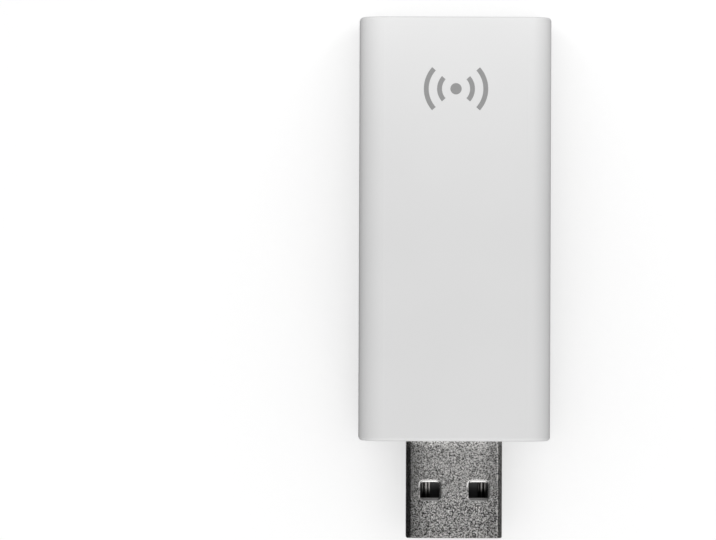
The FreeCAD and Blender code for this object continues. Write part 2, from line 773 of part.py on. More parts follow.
def crystal(x, y):
    """Crystal in a ceramic tray with a smaller metal lid."""
    length, width, height = CRYSTAL
    tray = centred_block(x, y, BOARD_TOP_Z, (length, width, height / 2))
    rim = CHIP_PART_CAP
    lid = (length - rim, width - rim, height)
    return join([tray, centred_block(x, y, BOARD_TOP_Z, lid)])


def can_box(grow, z0, z1):
    """Box over the radio section, grown sideways."""
    size = (CAN_WIDTH + 2 * grow, CAN_LENGTH + 2 * grow, z1 - z0)
    return centred_block(0, CAN_Y, z0, size)


def can_frame():
    """Soldered fence of the radio can: thin walls with a narrow flange turned in at the top."""
    top = BOARD_TOP_Z + CAN_HEIGHT
    fence = can_box(0, BOARD_TOP_Z, top)
    room = can_box(-CAN_SHEET, BOARD_TOP_Z, top - CAN_SHEET)
    mouth = can_box(-CAN_FLANGE, top - CAN_SHEET, top)
    frame = fence.cut(room).cut(mouth)
    gate = (CAN_WIDTH + CAN_SHEET, CAN_GATE_WIDTH, CAN_GATE_HEIGHT)
    return frame.cut(centred_block(0, CAN_Y, BOARD_TOP_Z, gate))


def can_lid():
    """Snap-on lid of the radio can: a flat top whose skirt is slit into springy fingers."""
    low = BOARD_TOP_Z + CAN_HEIGHT
    high = low + CAN_SHEET
    skirt_low = low - CAN_SKIRT
    lid = can_box(CAN_SHEET + CAN_FIT, skirt_low, high)
    lid = lid.cut(can_box(CAN_FIT, skirt_low, low))
    reach = CAN_SHEET + 2 * CAN_FIT
    for n in range(1, CAN_FINGERS):
        share = n / CAN_FINGERS - 0.5
        along_x = share * CAN_WIDTH
        along_y = CAN_Y + share * CAN_LENGTH
        height = low - skirt_low
        across = (CAN_WIDTH + 4 * reach, CAN_SLIT, height)
        through = (CAN_SLIT, CAN_LENGTH + 4 * reach, height)
        lid = lid.cut(centred_block(0, along_y, skirt_low, across))
        lid = lid.cut(centred_block(along_x, CAN_Y, skirt_low, through))
    return lid


def chip_row(x, y, count, upright=False):
    """Small chip parts side by side at an even pitch: along Y, or along X if upright."""
    parts = []
    for n in range(count):
        step = (n - (count - 1) / 2) * ROW_PITCH
        across, along = (step, 0) if upright else (0, step)
        parts.append(chip_part(x + across, y + along, SMALL_CHIP_PART, upright))
    return parts


def radio_chip():
    """Radio chip under the can."""
    return square_chip(0, RADIO_Y, RADIO_CHIP)


def radio_crystal():
    """Crystal of the radio, beside its chip."""
    x = (CRYSTAL[0] - RADIO_CHIP[0]) / 2
    return crystal(x, RADIO_FAR_Y + CRYSTAL[1] / 2)


def usb_bridge_chip():
    """Chip between the plug's data lines and the radio chip."""
    return square_chip(0, BRIDGE_Y, BRIDGE_CHIP)


def surge_protector():
    """Six-legged surge protector on the data lines, close to the plug."""
    return leaded_chip(0, PROTECTOR_Y, (-1, 0, 1), (-1, 0, 1))


def voltage_regulator():
    """Five-legged regulator that makes the chips' supply."""
    return leaded_chip(REGULATOR_X, REGULATOR_Y, (-1, 0, 1), (-1, 1))


def ferrite_bead():
    """Bead in the supply line, behind the power contact."""
    return chip_part(OUTER_CONTACT_X, FERRITE_Y, MIDDLE_CHIP_PART, upright=True)


def supply_capacitors():
    """Two large capacitors, before and after the regulator."""
    before = chip_part(-REGULATOR_X, REGULATOR_Y, LARGE_CHIP_PART)
    after = chip_part(REGULATOR_X, OUTPUT_CAPACITOR_Y, LARGE_CHIP_PART)
    return Part.makeCompound([before, after])


def bypass_capacitors():
    """Small capacitors in rows beside the two large chips."""
    far_x = RADIO_CHIP[0] / 2 - ROW_PITCH
    far_y = RADIO_FAR_Y + SMALL_CHIP_PART[0] / 2
    rows = chip_row(BRIDGE_ROW_X, BRIDGE_Y, 3)
    rows += chip_row(RADIO_ROW_X, RADIO_Y, 4)
    rows += chip_row(far_x, far_y, 3, upright=True)
    return Part.makeCompound(rows)


def resistors():
    """Small resistors: two in the data lines and a row beside the bridge chip."""
    rows = chip_row(0, SERIES_Y, 2, upright=True)
    rows += chip_row(-BRIDGE_ROW_X, BRIDGE_Y, 3)
    return Part.makeCompound(rows)


def matching_parts():
    """Coil and capacitors that match the radio to its antenna."""
    return Part.makeCompound(chip_row(0, MATCHING_Y, 3, upright=True))


def chip_antenna():
    """Ceramic antenna at the far end of the board."""
    return chip_part(0, ANTENNA_Y, ANTENNA)


def build():
    """Every sub-part by name."""
    parts = {
        "front_cover": front_cover(),
        "rear_cover": rear_cover(),
        "circuit_board": circuit_board(),
        "plug_shell": plug_shell(),
        "plug_insulator": plug_insulator(),
        "surge_protector": surge_protector(),
        "ferrite_bead": ferrite_bead(),
        "supply_capacitors": supply_capacitors(),
        "voltage_regulator": voltage_regulator(),
        "usb_bridge_chip": usb_bridge_chip(),
        "bypass_capacitors": bypass_capacitors(),
        "resistors": resistors(),
        "radio_chip": radio_chip(),
        "radio_crystal": radio_crystal(),
        "can_frame": can_frame(),
        "can_lid": can_lid(),
        "matching_parts": matching_parts(),
        "chip_antenna": chip_antenna(),
    }
    for name, x, from_tip in contact_places():
        parts[name] = contact(x, from_tip)
    return parts


os.makedirs("parts", exist_ok=True)
for part_name, shape in build().items():
    shape.exportStep(os.path.join("parts", part_name + ".step"))
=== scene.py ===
"""Looks for the smart home USB radio stick, in metres, in the frame of its CAD model."""

import json
import math

import bpy
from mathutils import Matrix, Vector


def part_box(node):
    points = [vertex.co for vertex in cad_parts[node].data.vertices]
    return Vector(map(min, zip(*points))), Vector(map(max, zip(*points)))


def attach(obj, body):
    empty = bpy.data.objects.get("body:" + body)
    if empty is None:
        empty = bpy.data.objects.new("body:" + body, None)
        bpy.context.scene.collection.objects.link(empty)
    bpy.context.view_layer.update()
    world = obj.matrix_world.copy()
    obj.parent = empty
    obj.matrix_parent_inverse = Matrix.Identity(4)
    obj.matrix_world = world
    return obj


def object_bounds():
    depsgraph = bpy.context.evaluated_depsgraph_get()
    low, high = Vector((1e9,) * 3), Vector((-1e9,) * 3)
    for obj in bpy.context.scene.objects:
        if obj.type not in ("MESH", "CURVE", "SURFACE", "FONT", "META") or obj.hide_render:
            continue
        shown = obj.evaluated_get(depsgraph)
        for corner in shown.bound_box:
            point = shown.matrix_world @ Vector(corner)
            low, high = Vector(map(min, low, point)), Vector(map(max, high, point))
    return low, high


MM = 0.001

# The photograph's frame, and where the stick lies in it
PHOTO_WIDTH = 716
PHOTO_HEIGHT = 540
PIXELS_PER_MM = 7.965
STICK_MIDDLE_PX = (454.4, 277.95)
STICK_LEAN_DEG = 0.2
LENS_MM = 200.0
SENSOR_MM = 36.0

# Most of a noise's values lie in this range
NOISE_SPAN = (0.3, 0.7)

# Radius by which shading softens sharp edges
PLASTIC_EDGE = 0.06 * MM
STEEL_EDGE = 0.08 * MM

# The plug's sheet between its folds: how far it bulges, and how late towards them
PLUG_HALF_WIDTH = 6.0 * MM
CROWN_HEIGHT = 0.25 * MM
CROWN_POWER = 4.0

# Windows of the plug, measured from its tip, and the pressed-in rim around each
WINDOW_X = 3.025 * MM
WINDOW_WIDTH = 2.45 * MM
WINDOW_START = 5.05 * MM
WINDOW_END = 7.3 * MM
WINDOW_CORNER = 0.45 * MM
RIM_WIDTH = 0.24 * MM
RIM_ABOVE = 0.04 * MM
RIM_BELOW = 0.44 * MM
RIM_DEPTH = 0.065 * MM
RIM_BLUR = 0.05 * MM

# The left side of a rim is faint at its waist: where that is behind the tip, how far from there the rim comes
# back, and its strength at the waist
RIM_WAIST = 5.75 * MM
RIM_WAIST_FADE = (0.3 * MM, 0.7 * MM)
RIM_WAIST_STRENGTH = 0.1

# How much of a face's normal lies along an axis where it becomes a narrow side, or a slope in a window, and
# where the mouth ends, whose own slopes keep their grain
WALL_NORMAL = (0.9, 0.99)
SLOPE_NORMAL = (0.3, 0.45)
MOUTH_END = (3.0 * MM, 4.0 * MM)

# Grain of the steel, in spots to the metre: by the case, near the tip, and the finer one that is added
# everywhere. Noise goes weak on a face that lies about a whole number of spots from the origin, so the narrow
# sides have a scale of their own near the tip.
GRAIN = 5200
TIP_GRAIN = 7100
TIP_WALL_GRAIN = 6400
FINE_GRAIN = 9500
TIP_GRAIN_END = (5.0 * MM, 7.5 * MM)

# Tone of the grain: the sum of both noises that gives the middle tone, how far either way is fully dark or
# bright, what is different near the tip, and the two colours
GRAIN_MEAN = 1.015
GRAIN_REACH = 0.225
TIP_GRAIN_CONTRAST = 0.98
TIP_GRAIN_DARKER = 0.038
STEEL_DARK = (0.04, 0.039, 0.038)
STEEL_BRIGHT = (0.725, 0.716, 0.703)

# Painted light and shade in the steel's colour. A stretch runs behind the tip, or outwards as a share of the
# plug's half width, and has the painted light at its start and at its end.
PLUG_LIGHT = (0.0, 13.0 * MM, 0.86, 1.16)
CASE_EDGE_LIGHT = (11.2 * MM, 12.0 * MM, 1.0, 1.32)
SLOPE_LIGHT = (7.05 * MM, 7.3 * MM, 1.0, 0.35)
SIDE_LIGHT = (0.5, 0.84, 1.0, 0.62)
FOLD_LIGHT = (0.88, 0.9, 1.0, 1.6)
WALL_LIGHT = 1.35
TIP_GRAIN_LIGHT = 1.16

# The rim of a window shines fully below the first of these heights, where the flat sheet is 1: a painted
# highlight in its colour and a smoother finish. It is painted in shade on its side towards the tip.
RIM_SHINE_HEIGHT = (0.8, 1.0)
TIP_RIM_SHADE = 0.75

# Roughness of the steel: outwards at the fold, what a shining rim takes off, and what a narrow side adds
FOLD_ROUGHNESS = (0.88, 0.92, 0.42, 0.22)
RIM_SMOOTHER = 0.16
WALL_ROUGHER = 0.4

# Painted light on the insulator, lighter towards the case where light falls in through the windows: a stretch
# behind the tip, with a value at each end, to be squared
INSULATOR_PAINTED_LIGHT = (5.7 * MM, 6.9 * MM, 0.0, 6.0)

# The contacts are dished by their spring's wiping: where it begins, its length and its depth
DISH_FROM_TIP = 5.0 * MM
DISH_LENGTH = 2.2 * MM
DISH_DEPTH = 0.25 * MM

# Painted light and shade on the contacts behind the tip: painted shade past the mouth, painted light that
# comes back from dim to bright towards the case, and painted shade that differs on the two sides, whose
# bounds are measured from a contact's left edge
CONTACT_MOUTH_END = (4.1 * MM, 4.9 * MM)
CONTACT_PAINTED_LIGHT_FULL = 6.2 * MM
CONTACT_DIM_TO_BRIGHT = (0.2, 0.76)
CONTACT_LEFT_SIDE = (0.1 * MM, 0.2 * MM)
CONTACT_RIGHT_SIDE = (0.5 * MM, 0.6 * MM)

# For one contact and for the others: where the painted light starts to come back, and the painted light on
# both sides
CONTACT_PAINTED_LIGHT = {"contact_power": (5.6 * MM, 0.06, 0.55), "other": (5.35 * MM, 0.2, 1.0)}

# Solder tin on the small parts: the leads' reach beyond a chip's body, and how proud an end cap stands
TIN = (0.6, 0.6, 0.59)
LEADED_CHIPS = ("surge_protector", "voltage_regulator")
LEAD_REACH = 0.6 * MM
CAP_PROUD = 0.015 * MM
TIN_BLUR = 0.01 * MM

# Printed mark of radio waves: its middle from the far end, and its rings
MARK_FROM_END = 9.0 * MM
MARK_INK_THICKNESS = 0.01 * MM
MARK_DOT_RADIUS = 0.7 * MM
MARK_RINGS = ((1.75 * MM, 2.35 * MM), (3.4 * MM, 4.0 * MM))
MARK_HALF_ANGLE_DEG = 42.0
MARK_STEPS = 24

# Table top, a hair under the stick
FLOOR_HALF = 6.0
FLOOR_GAP = 0.02 * MM
FLOOR_GLOW = 0.48

# Soft boxes, in millimetres: place from the stick's middle, width and length, and then watts. The far pair
# stands left and right of the case's far edge, and its place is measured from there.
NEAR_PANEL = ((30, -420, 130), (320, 120), 0.51)
FAR_PANEL = ((18, 20, 15), (16, 10), 0.0023)

# The surround for matt surfaces: brightness, and the height of the horizon's blur
WORLD_LIGHT = 0.89
HORIZON = (-0.06, 0.02)

# The surround for shiny surfaces. A light is a ramp over one part of the direction, from its first value to
# its second with the brightness at both, or a hump: its centre, and the half widths of its top and its foot.
WINDOW_HUMP_X = (0.06, 0.08, 0.4)
WINDOW_RAMP_Y = (-0.4, 0.05, 2.1, 0.35)
LOW_FRONT_RAMP_Y = (-0.75, -0.5, 1.3, 0.0)
CORNER_RAMP_X = (0.45, 0.65, 0.0, 1.2)
CORNER_RAMP_Y = (-0.45, -0.2, 1.0, 0.0)
STRIP_HUMP_X = (0.48, 0.05, 0.14)
STRIP_LIGHT = 1.3
LAMPS_RAMP_Z = (0.12, 0.36, 0.15, 1.0)
ROOM_RAMP_X = (0.4, 0.8, 0.02, 0.16)
ROOM_RAMP_Y = (0.3, 0.8, 0.0, 0.4)

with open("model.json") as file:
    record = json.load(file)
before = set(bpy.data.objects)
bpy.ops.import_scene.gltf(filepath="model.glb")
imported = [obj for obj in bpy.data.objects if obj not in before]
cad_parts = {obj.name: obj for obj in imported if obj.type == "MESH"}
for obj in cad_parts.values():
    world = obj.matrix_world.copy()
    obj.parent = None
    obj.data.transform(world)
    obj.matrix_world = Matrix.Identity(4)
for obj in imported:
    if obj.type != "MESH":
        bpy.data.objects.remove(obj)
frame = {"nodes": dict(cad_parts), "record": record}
nodes = frame["nodes"]
cad_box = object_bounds()
bottom, top = cad_box
middle = (bottom + top) / 2
plug_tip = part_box("plug_shell")[0].y


class Nodes:
    """Short calls that add nodes to a tree. A value is a number or a socket."""

    def __init__(self, tree):
        self.tree = tree

    def node(self, kind, links=None, values=None, **settings):
        """New node with linked sockets, plain values and its own settings."""
        made = self.tree.nodes.new(kind)
        for key, value in settings.items():
            setattr(made, key, value)
        for key, value in (values or {}).items():
            made.inputs[key].default_value = value
        for key, socket in (links or {}).items():
            self.tree.links.new(socket, made.inputs[key])
        return made

    def math(self, operation, *terms):
        """Result of an operation on one or two values."""
        numbers = {index: term for index, term in enumerate(terms) if isinstance(term, (int, float))}
        links = {index: term for index, term in enumerate(terms) if index not in numbers}
        return self.node("ShaderNodeMath", links, numbers, operation=operation).outputs[0]

    def less(self, first, second):
        """The first value less the second."""
        return self.math("SUBTRACT", first, second)

    def rest(self, value):
        """What a value leaves of 1."""
        return self.less(1.0, value)

    def size(self, value):
        """A value without its sign."""
        return self.math("ABSOLUTE", value)

    def highest(self, first, second):
        """The higher of two values."""
        return self.math("MAXIMUM", first, second)

    def times(self, product, *factors):
        """Product of two or more values."""
        for factor in factors:
            product = self.math("MULTIPLY", product, factor)
        return product

    def fade(self, first, second, amount):
        """Value that goes from first to second as amount goes from 0 to 1."""
        made = self.node("ShaderNodeMix", {"Factor": amount}, data_type="FLOAT")
        for socket, value in (("A", first), ("B", second)):
            if isinstance(value, (int, float)):
                made.inputs[socket].default_value = value
            else:
                self.tree.links.new(value, made.inputs[socket])
        return made.outputs["Result"]

    def spread(self, value, low, high, to_low, to_high, **settings):
        """value mapped from one range to another, and held inside it."""
        limits = {"From Min": low, "From Max": high, "To Min": to_low, "To Max": to_high}
        return self.node("ShaderNodeMapRange", {"Value": value}, limits, **settings).outputs["Result"]

    def split(self, vector):
        """The three parts of a vector, each by itself."""
        return self.node("ShaderNodeSeparateXYZ", {"Vector": vector}).outputs


class Material(Nodes):
    """A node material with its Principled shader."""

    def __init__(self, name, **settings):
        self.material = bpy.data.materials.new(name)
        self.material.use_nodes = True
        super().__init__(self.material.node_tree)
        self.shader = self.tree.nodes["Principled BSDF"]
        for socket, value in settings.items():
            self.shader.inputs[socket.replace("_", " ")].default_value = value

    def place(self):
        """Coordinates of the CAD frame, in metres."""
        return self.node("ShaderNodeTexCoord").outputs["Object"]

    def plug_place(self):
        """Where a point lies across the plug, and how far behind its tip."""
        place = self.split(self.place())
        return place["X"], self.less(place["Y"], plug_tip)

    def noise(self, scale, detail=2.0, roughness=0.5, vector=None):
        """Noise from 0 to 1 whose spots are about 1 / scale metres across."""
        made = self.node(
            "ShaderNodeTexNoise",
            {"Vector": vector or self.place()},
            {"Scale": scale, "Detail": detail, "Roughness": roughness},
        )
        return made.outputs["Fac"]

    def drawn_lines(self, scale, detail):
        """Noise stretched into lines by a scale for each axis."""
        stretch = self.node("ShaderNodeMapping", {"Vector": self.place()}, {"Scale": scale})
        return self.noise(1.0, detail, 0.6, stretch.outputs["Vector"])

    def blend_colour(self, amount, first, second):
        """Colour that goes from first to second, each a plain colour or a socket."""
        made = self.node("ShaderNodeMix", {"Factor": amount}, data_type="RGBA")
        for socket, colour in (("A", first), ("B", second)):
            target = [s for s in made.inputs if s.name == socket and s.type == "RGBA"][0]
            if isinstance(colour, tuple):
                target.default_value = (*colour, 1.0)
            else:
                self.tree.links.new(colour, target)
        return [s for s in made.outputs if s.type == "RGBA"][0]

    def scale_colour(self, colour, factor):
        """Colour made lighter or darker."""
        links = {"Vector": colour, "Scale": factor}
        return self.node("ShaderNodeVectorMath", links, operation="SCALE").outputs[0]

    def soft_edge(self, radius):
        """Normal that rounds the sharp edges of the solid by a radius."""
        return self.node("ShaderNodeBevel", values={"Radius": radius}, samples=6).outputs["Normal"]

    def bump(self, height, distance, strength=1.0, normal=None):
        """Normal of a small relief, distance metres high, on top of another normal."""
        links = {"Height": height}
        if normal is not None:
            links["Normal"] = normal
        made = self.node("ShaderNodeBump", links, {"Distance": distance, "Strength": strength})
        return made.outputs["Normal"]

    def plug(self, socket, value):
        """Links a value into the shader."""
        self.tree.links.new(value, self.shader.inputs[socket])

    def paint(self, colour, tinned=None):
        """Colour of the whole piece, except where it is tinned."""
        if tinned is not None:
            colour = self.blend_colour(tinned, colour, TIN)
            self.plug("Metallic", tinned)
        self.plug("Base Color", colour)

    def roughen(self, noise, low, high):
        """Roughness that wanders between two values with a noise."""
        self.plug("Roughness", self.spread(noise, *NOISE_SPAN, low, high))


def grey(value):
    """Neutral colour."""
    return (value, value, value)


def white_plastic():
    """Satin moulded plastic with the finest spark-eroded grain."""
    m = Material("white_plastic", IOR=1.46)
    cloud = m.spread(m.noise(60), *NOISE_SPAN, 0, 1)
    grain = m.noise(9000, 3.0, 0.6)
    m.paint(m.blend_colour(cloud, grey(0.705), grey(0.725)))
    m.roughen(grain, 0.42, 0.5)
    m.plug("Normal", m.bump(grain, 0.003 * MM, 0.5, m.soft_edge(PLASTIC_EDGE)))
    return m.material


def window_rim(m, across, behind_tip):
    """Height around the plug's windows: 1 on the flat sheet, falling to 0 at a window's edge."""
    corner = WINDOW_CORNER + RIM_WIDTH
    half_width = WINDOW_WIDTH / 2 + RIM_WIDTH
    start, end = WINDOW_START - RIM_BELOW, WINDOW_END + RIM_ABOVE
    from_middle = m.size(m.less(m.size(across), WINDOW_X))
    from_centre = m.size(m.less(behind_tip, (start + end) / 2))
    past_x = m.highest(m.less(from_middle, half_width - corner), 0.0)
    past_y = m.highest(m.less(from_centre, (end - start) / 2 - corner), 0.0)
    squares = m.math("ADD", m.times(past_x, past_x), m.times(past_y, past_y))
    return m.spread(m.math("SQRT", squares), corner - RIM_WIDTH, corner, 0, 1)


def rim_strength(m, across, behind_tip):
    """How far the rim is pressed in: faint at the waist of each window's left side, full elsewhere."""
    from_waist = m.size(m.less(behind_tip, RIM_WAIST))
    window_middle = m.times(m.math("SIGN", across), WINDOW_X)
    right_half = m.math("GREATER_THAN", across, window_middle)
    return m.highest(m.spread(from_waist, *RIM_WAIST_FADE, RIM_WAIST_STRENGTH, 1.0), right_half)


def steel_grain(m, wall, near_tip):
    """Relief of the grain, and its tone from 0, dark, to 1, bright."""
    tip_grain = m.fade(m.noise(TIP_GRAIN, 0.0), m.noise(TIP_WALL_GRAIN, 0.0), wall)
    grain = m.fade(m.noise(GRAIN, 1.0), tip_grain, near_tip)
    mixed = m.less(m.math("ADD", grain, m.noise(FINE_GRAIN, 1.0)), GRAIN_MEAN)
    mixed = m.times(mixed, m.fade(1.0, TIP_GRAIN_CONTRAST, near_tip))
    mixed = m.less(mixed, m.times(near_tip, TIP_GRAIN_DARKER))
    return grain, m.spread(mixed, -GRAIN_REACH, GRAIN_REACH, 0, 1)


def plug_steel():
    """Nickel-plated sheet with a grainy, sparkling tumbled finish, smooth where the windows were cut. Its
    colour carries painted light and shade: painted highlights on the window slopes, rims, folds and narrow
    sides, painted shade towards the folds and on the tip side of each rim, and lighter towards the tip, the
    case and the case's edge.
    """
    m = Material("plug_steel", Metallic=1.0)
    across, behind_tip = m.plug_place()
    side = m.math("DIVIDE", m.size(across), PLUG_HALF_WIDTH)
    facing = m.split(m.node("ShaderNodeNewGeometry").outputs["True Normal"])
    wall = m.spread(m.size(facing["X"]), *WALL_NORMAL, 0, 1)
    tilted = m.spread(m.size(facing["Y"]), *SLOPE_NORMAL, 0, 1)
    slope = m.times(tilted, m.spread(behind_tip, *MOUTH_END, 0, 1))
    near_tip = m.spread(behind_tip, *TIP_GRAIN_END, 1, 0)
    grain, grain_tone = steel_grain(m, wall, near_tip)
    rim = window_rim(m, across, behind_tip)
    pressed = rim_strength(m, across, behind_tip)
    rim_gloss_and_painted_highlight = m.times(m.spread(rim, *RIM_SHINE_HEIGHT, 1, 0), pressed)

    # Painted highlight: the slopes in the windows and the pressed-in rims take the brightest tone of the
    # grain
    tone = m.highest(grain_tone, m.highest(slope, rim_gloss_and_painted_highlight))
    tip_side_of_rim = m.spread(behind_tip, WINDOW_START, WINDOW_START + RIM_BLUR, TIP_RIM_SHADE, 0)
    # Painted light and shade in the colour: slopes dimmer at a window's case end, painted shade on the tip
    # side of each rim, lighter near the tip and towards the case, painted shade towards the folds, a painted
    # highlight at each fold, lighter narrow sides, and lighter by the case's edge
    light = m.times(
        m.fade(1.0, m.spread(behind_tip, *SLOPE_LIGHT), slope),
        m.rest(m.times(tip_side_of_rim, m.rest(rim))),
        m.fade(1.0, TIP_GRAIN_LIGHT, near_tip),
        m.spread(behind_tip, *PLUG_LIGHT),
        m.spread(side, *SIDE_LIGHT),
        m.spread(side, *FOLD_LIGHT),
        m.fade(1.0, WALL_LIGHT, wall),
        m.spread(behind_tip, *CASE_EDGE_LIGHT),
    )
    m.paint(m.scale_colour(m.blend_colour(tone, STEEL_DARK, STEEL_BRIGHT), light))

    polish = m.less(m.spread(side, *FOLD_ROUGHNESS), m.times(rim_gloss_and_painted_highlight, RIM_SMOOTHER))
    m.plug("Roughness", m.math("ADD", polish, m.times(wall, WALL_ROUGHER)))

    crown = m.rest(m.math("POWER", side, CROWN_POWER))
    crowned = m.bump(crown, CROWN_HEIGHT, 1.0, m.soft_edge(STEEL_EDGE))
    dent = m.times(m.less(rim, 1.0), pressed, m.rest(slope))
    rimmed = m.bump(dent, RIM_DEPTH, 1.0, crowned)
    m.plug("Normal", m.bump(grain, 0.006 * MM, 0.6, rimmed))
    return m.material


def insulator_plastic():
    """Black glass-filled moulding, with painted shade towards the tip and painted light towards the case
    behind the windows.
    """
    m = Material("insulator_plastic", IOR=1.4)
    cloud = m.noise(1500, 3.0)
    # Painted shade and light: the black is darker than the plastic's own towards the tip, and lighter towards
    # the case
    inward = m.spread(m.plug_place()[1], *INSULATOR_PAINTED_LIGHT)
    painted_light = m.math("ADD", m.times(inward, inward), 1.0)
    m.paint(m.scale_colour(m.blend_colour(cloud, grey(0.003), grey(0.008)), painted_light))
    m.roughen(cloud, 0.5, 0.65)
    m.plug("Normal", m.bump(m.noise(7000, 3.0), 0.004 * MM, 0.5))
    return m.material


def plated_contact(node):
    """Plated contact, drawn lengthways and dished, in its plain plating at the mouth, with painted shade
    deeper in and on its sides, and painted light towards the case.
    """
    m = Material(f"{node}_plating", Metallic=1.0)
    painted_light_start, left_painted_light, right_painted_light = CONTACT_PAINTED_LIGHT.get(node, CONTACT_PAINTED_LIGHT["other"])
    across, behind_tip = m.plug_place()
    from_left = m.less(across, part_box(node)[0].x)
    lines = m.drawn_lines((9000, 500, 9000), 3.0)
    plating = m.blend_colour(lines, (0.5, 0.48, 0.46), (0.72, 0.7, 0.68))
    mouth = m.spread(behind_tip, *CONTACT_MOUTH_END, 1.0, 0)
    inside = m.spread(behind_tip, painted_light_start, CONTACT_PAINTED_LIGHT_FULL, *CONTACT_DIM_TO_BRIGHT)
    # Painted light and shade: full plating at the mouth, painted shade deeper in, painted light coming back
    # towards the case, and painted shade on each side
    light = m.times(
        m.highest(mouth, m.times(inside, inside)),
        m.spread(from_left, *CONTACT_LEFT_SIDE, left_painted_light, 1.0),
        m.spread(from_left, *CONTACT_RIGHT_SIDE, 1.0, right_painted_light),
    )
    m.paint(m.scale_colour(plating, light))
    m.roughen(lines, 0.28, 0.4)
    rise = m.spread(behind_tip, DISH_FROM_TIP, DISH_FROM_TIP + DISH_LENGTH, 0, 1)
    m.plug("Normal", m.bump(m.times(rise, rise), DISH_DEPTH))
    return m.material


def board_mask():
    """Solder mask over the weave of the board."""
    m = Material("board_mask", IOR=1.5)
    bricks = {"Scale": 1800.0, "Mortar Size": 0.06}
    weave = m.node("ShaderNodeTexBrick", {"Vector": m.place()}, bricks).outputs["Fac"]
    cloud = m.noise(300, 3.0)
    m.paint(m.blend_colour(cloud, (0.008, 0.07, 0.03), (0.014, 0.11, 0.045)))
    m.roughen(cloud, 0.26, 0.4)
    m.plug("Normal", m.bump(weave, 0.004 * MM, 0.3))
    return m.material


def moulding_compound(node):
    """Dull black epoxy of a chip, with tinned leads on its two long sides if it has any."""
    m = Material(f"{node}_compound", IOR=1.5)
    cloud = m.noise(2600, 4.0, 0.6)
    leads = None
    if node in LEADED_CHIPS:
        low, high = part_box(node)
        away = m.size(m.less(m.split(m.place())["Y"], (low.y + high.y) / 2))
        half_body = (high.y - low.y) / 2 - LEAD_REACH
        leads = m.spread(away, half_body, half_body + TIN_BLUR, 0, 1)
    m.paint(m.blend_colour(cloud, grey(0.012), grey(0.03)), leads)
    m.roughen(cloud, 0.5, 0.7)
    m.plug("Normal", m.bump(cloud, 0.006 * MM, 0.5))
    return m.material


def ceramic(node, first, second):
    """Sintered ceramic of chip parts with fine pores. Their end caps stand proud on top, and are tinned."""
    m = Material(f"{node}_ceramic", IOR=1.6)
    pores = m.noise(5000, 3.0, 0.7)
    body_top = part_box(node)[1].z - CAP_PROUD
    caps = m.spread(m.split(m.place())["Z"], body_top, body_top + TIN_BLUR, 0, 1)
    m.paint(m.blend_colour(pores, first, second), caps)
    m.roughen(pores, 0.3, 0.5)
    m.plug("Normal", m.bump(pores, 0.004 * MM, 0.5))
    return m.material


def tinned_steel():
    """Bright tinned sheet with rolling lines along its length."""
    m = Material("tinned_steel", Metallic=1.0)
    lines = m.drawn_lines((5000, 250, 5000), 4.0)
    m.paint(m.blend_colour(lines, grey(0.55), grey(0.68)))
    m.roughen(lines, 0.24, 0.4)
    m.plug("Normal", m.bump(lines, 0.002 * MM, 0.4))
    return m.material


def dress_nodes():
    """Gives every CAD node the material of its slot."""
    shared = {
        "case": white_plastic(),
        "plug_steel": plug_steel(),
        "insulator": insulator_plastic(),
        "board": board_mask(),
        "can_tin": tinned_steel(),
    }
    ceramics = {
        "ceramic_dark": (grey(0.02), grey(0.05)),
        "ceramic_tan": ((0.3, 0.19, 0.1), (0.42, 0.28, 0.16)),
        "ceramic_white": (grey(0.62), grey(0.74)),
    }
    for part in frame["record"]["subparts"]:
        node, slot = part["node"], part["material_slot"]
        if slot in ceramics:
            look = ceramic(node, *ceramics[slot])
        elif slot == "chip_body":
            look = moulding_compound(node)
        elif slot == "contact":
            look = plated_contact(node)
        else:
            look = shared[slot]
        for material_slot in nodes[node].material_slots:
            material_slot.material = look


def ink():
    """Grey printing ink, a little uneven."""
    m = Material("ink", IOR=1.45)
    cloud = m.noise(1800, 3.0)
    m.paint(m.blend_colour(cloud, grey(0.27), grey(0.31)))
    m.roughen(cloud, 0.45, 0.6)
    return m.material


def band_of_ring(inner, outer, facing_deg):
    """Corners and faces of a closed band of ink along part of a ring, on the side that faces an angle."""
    section = ((inner, 0.0), (outer, 0.0), (outer, MARK_INK_THICKNESS), (inner, MARK_INK_THICKNESS))
    first, last = facing_deg - MARK_HALF_ANGLE_DEG, facing_deg + MARK_HALF_ANGLE_DEG
    turns = [math.radians(first + (last - first) * i / MARK_STEPS) for i in range(MARK_STEPS + 1)]
    corners = [(r * math.cos(turn), r * math.sin(turn), z) for turn in turns for r, z in section]
    faces = []
    for start in range(0, 4 * MARK_STEPS, 4):
        for near, far in ((0, 1), (1, 2), (2, 3), (3, 0)):
            faces.append((start + near, start + 4 + near, start + 4 + far, start + far))
    end = 4 * MARK_STEPS
    faces += [(0, 1, 2, 3), (end + 3, end + 2, end + 1, end)]
    return corners, faces


def dot():
    """Corners and faces of the round middle of the mark."""
    count = 2 * MARK_STEPS
    turns = [math.tau * i / count for i in range(count)]
    corners = [
        (MARK_DOT_RADIUS * math.cos(turn), MARK_DOT_RADIUS * math.sin(turn), z)
        for z in (0.0, MARK_INK_THICKNESS)
        for turn in turns
    ]
    faces = [tuple(reversed(range(count))), tuple(range(count, 2 * count))]
    faces += [(i, (i + 1) % count, count + (i + 1) % count, count + i) for i in range(count)]
    return corners, faces


def add_object(name, corners, faces, material):
    """New mesh object in the scene."""
    mesh = bpy.data.meshes.new(name)
    mesh.from_pydata(corners, [], faces)
    mesh.materials.append(material)
    made = bpy.data.objects.new(name, mesh)
    bpy.context.scene.collection.objects.link(made)
    return made


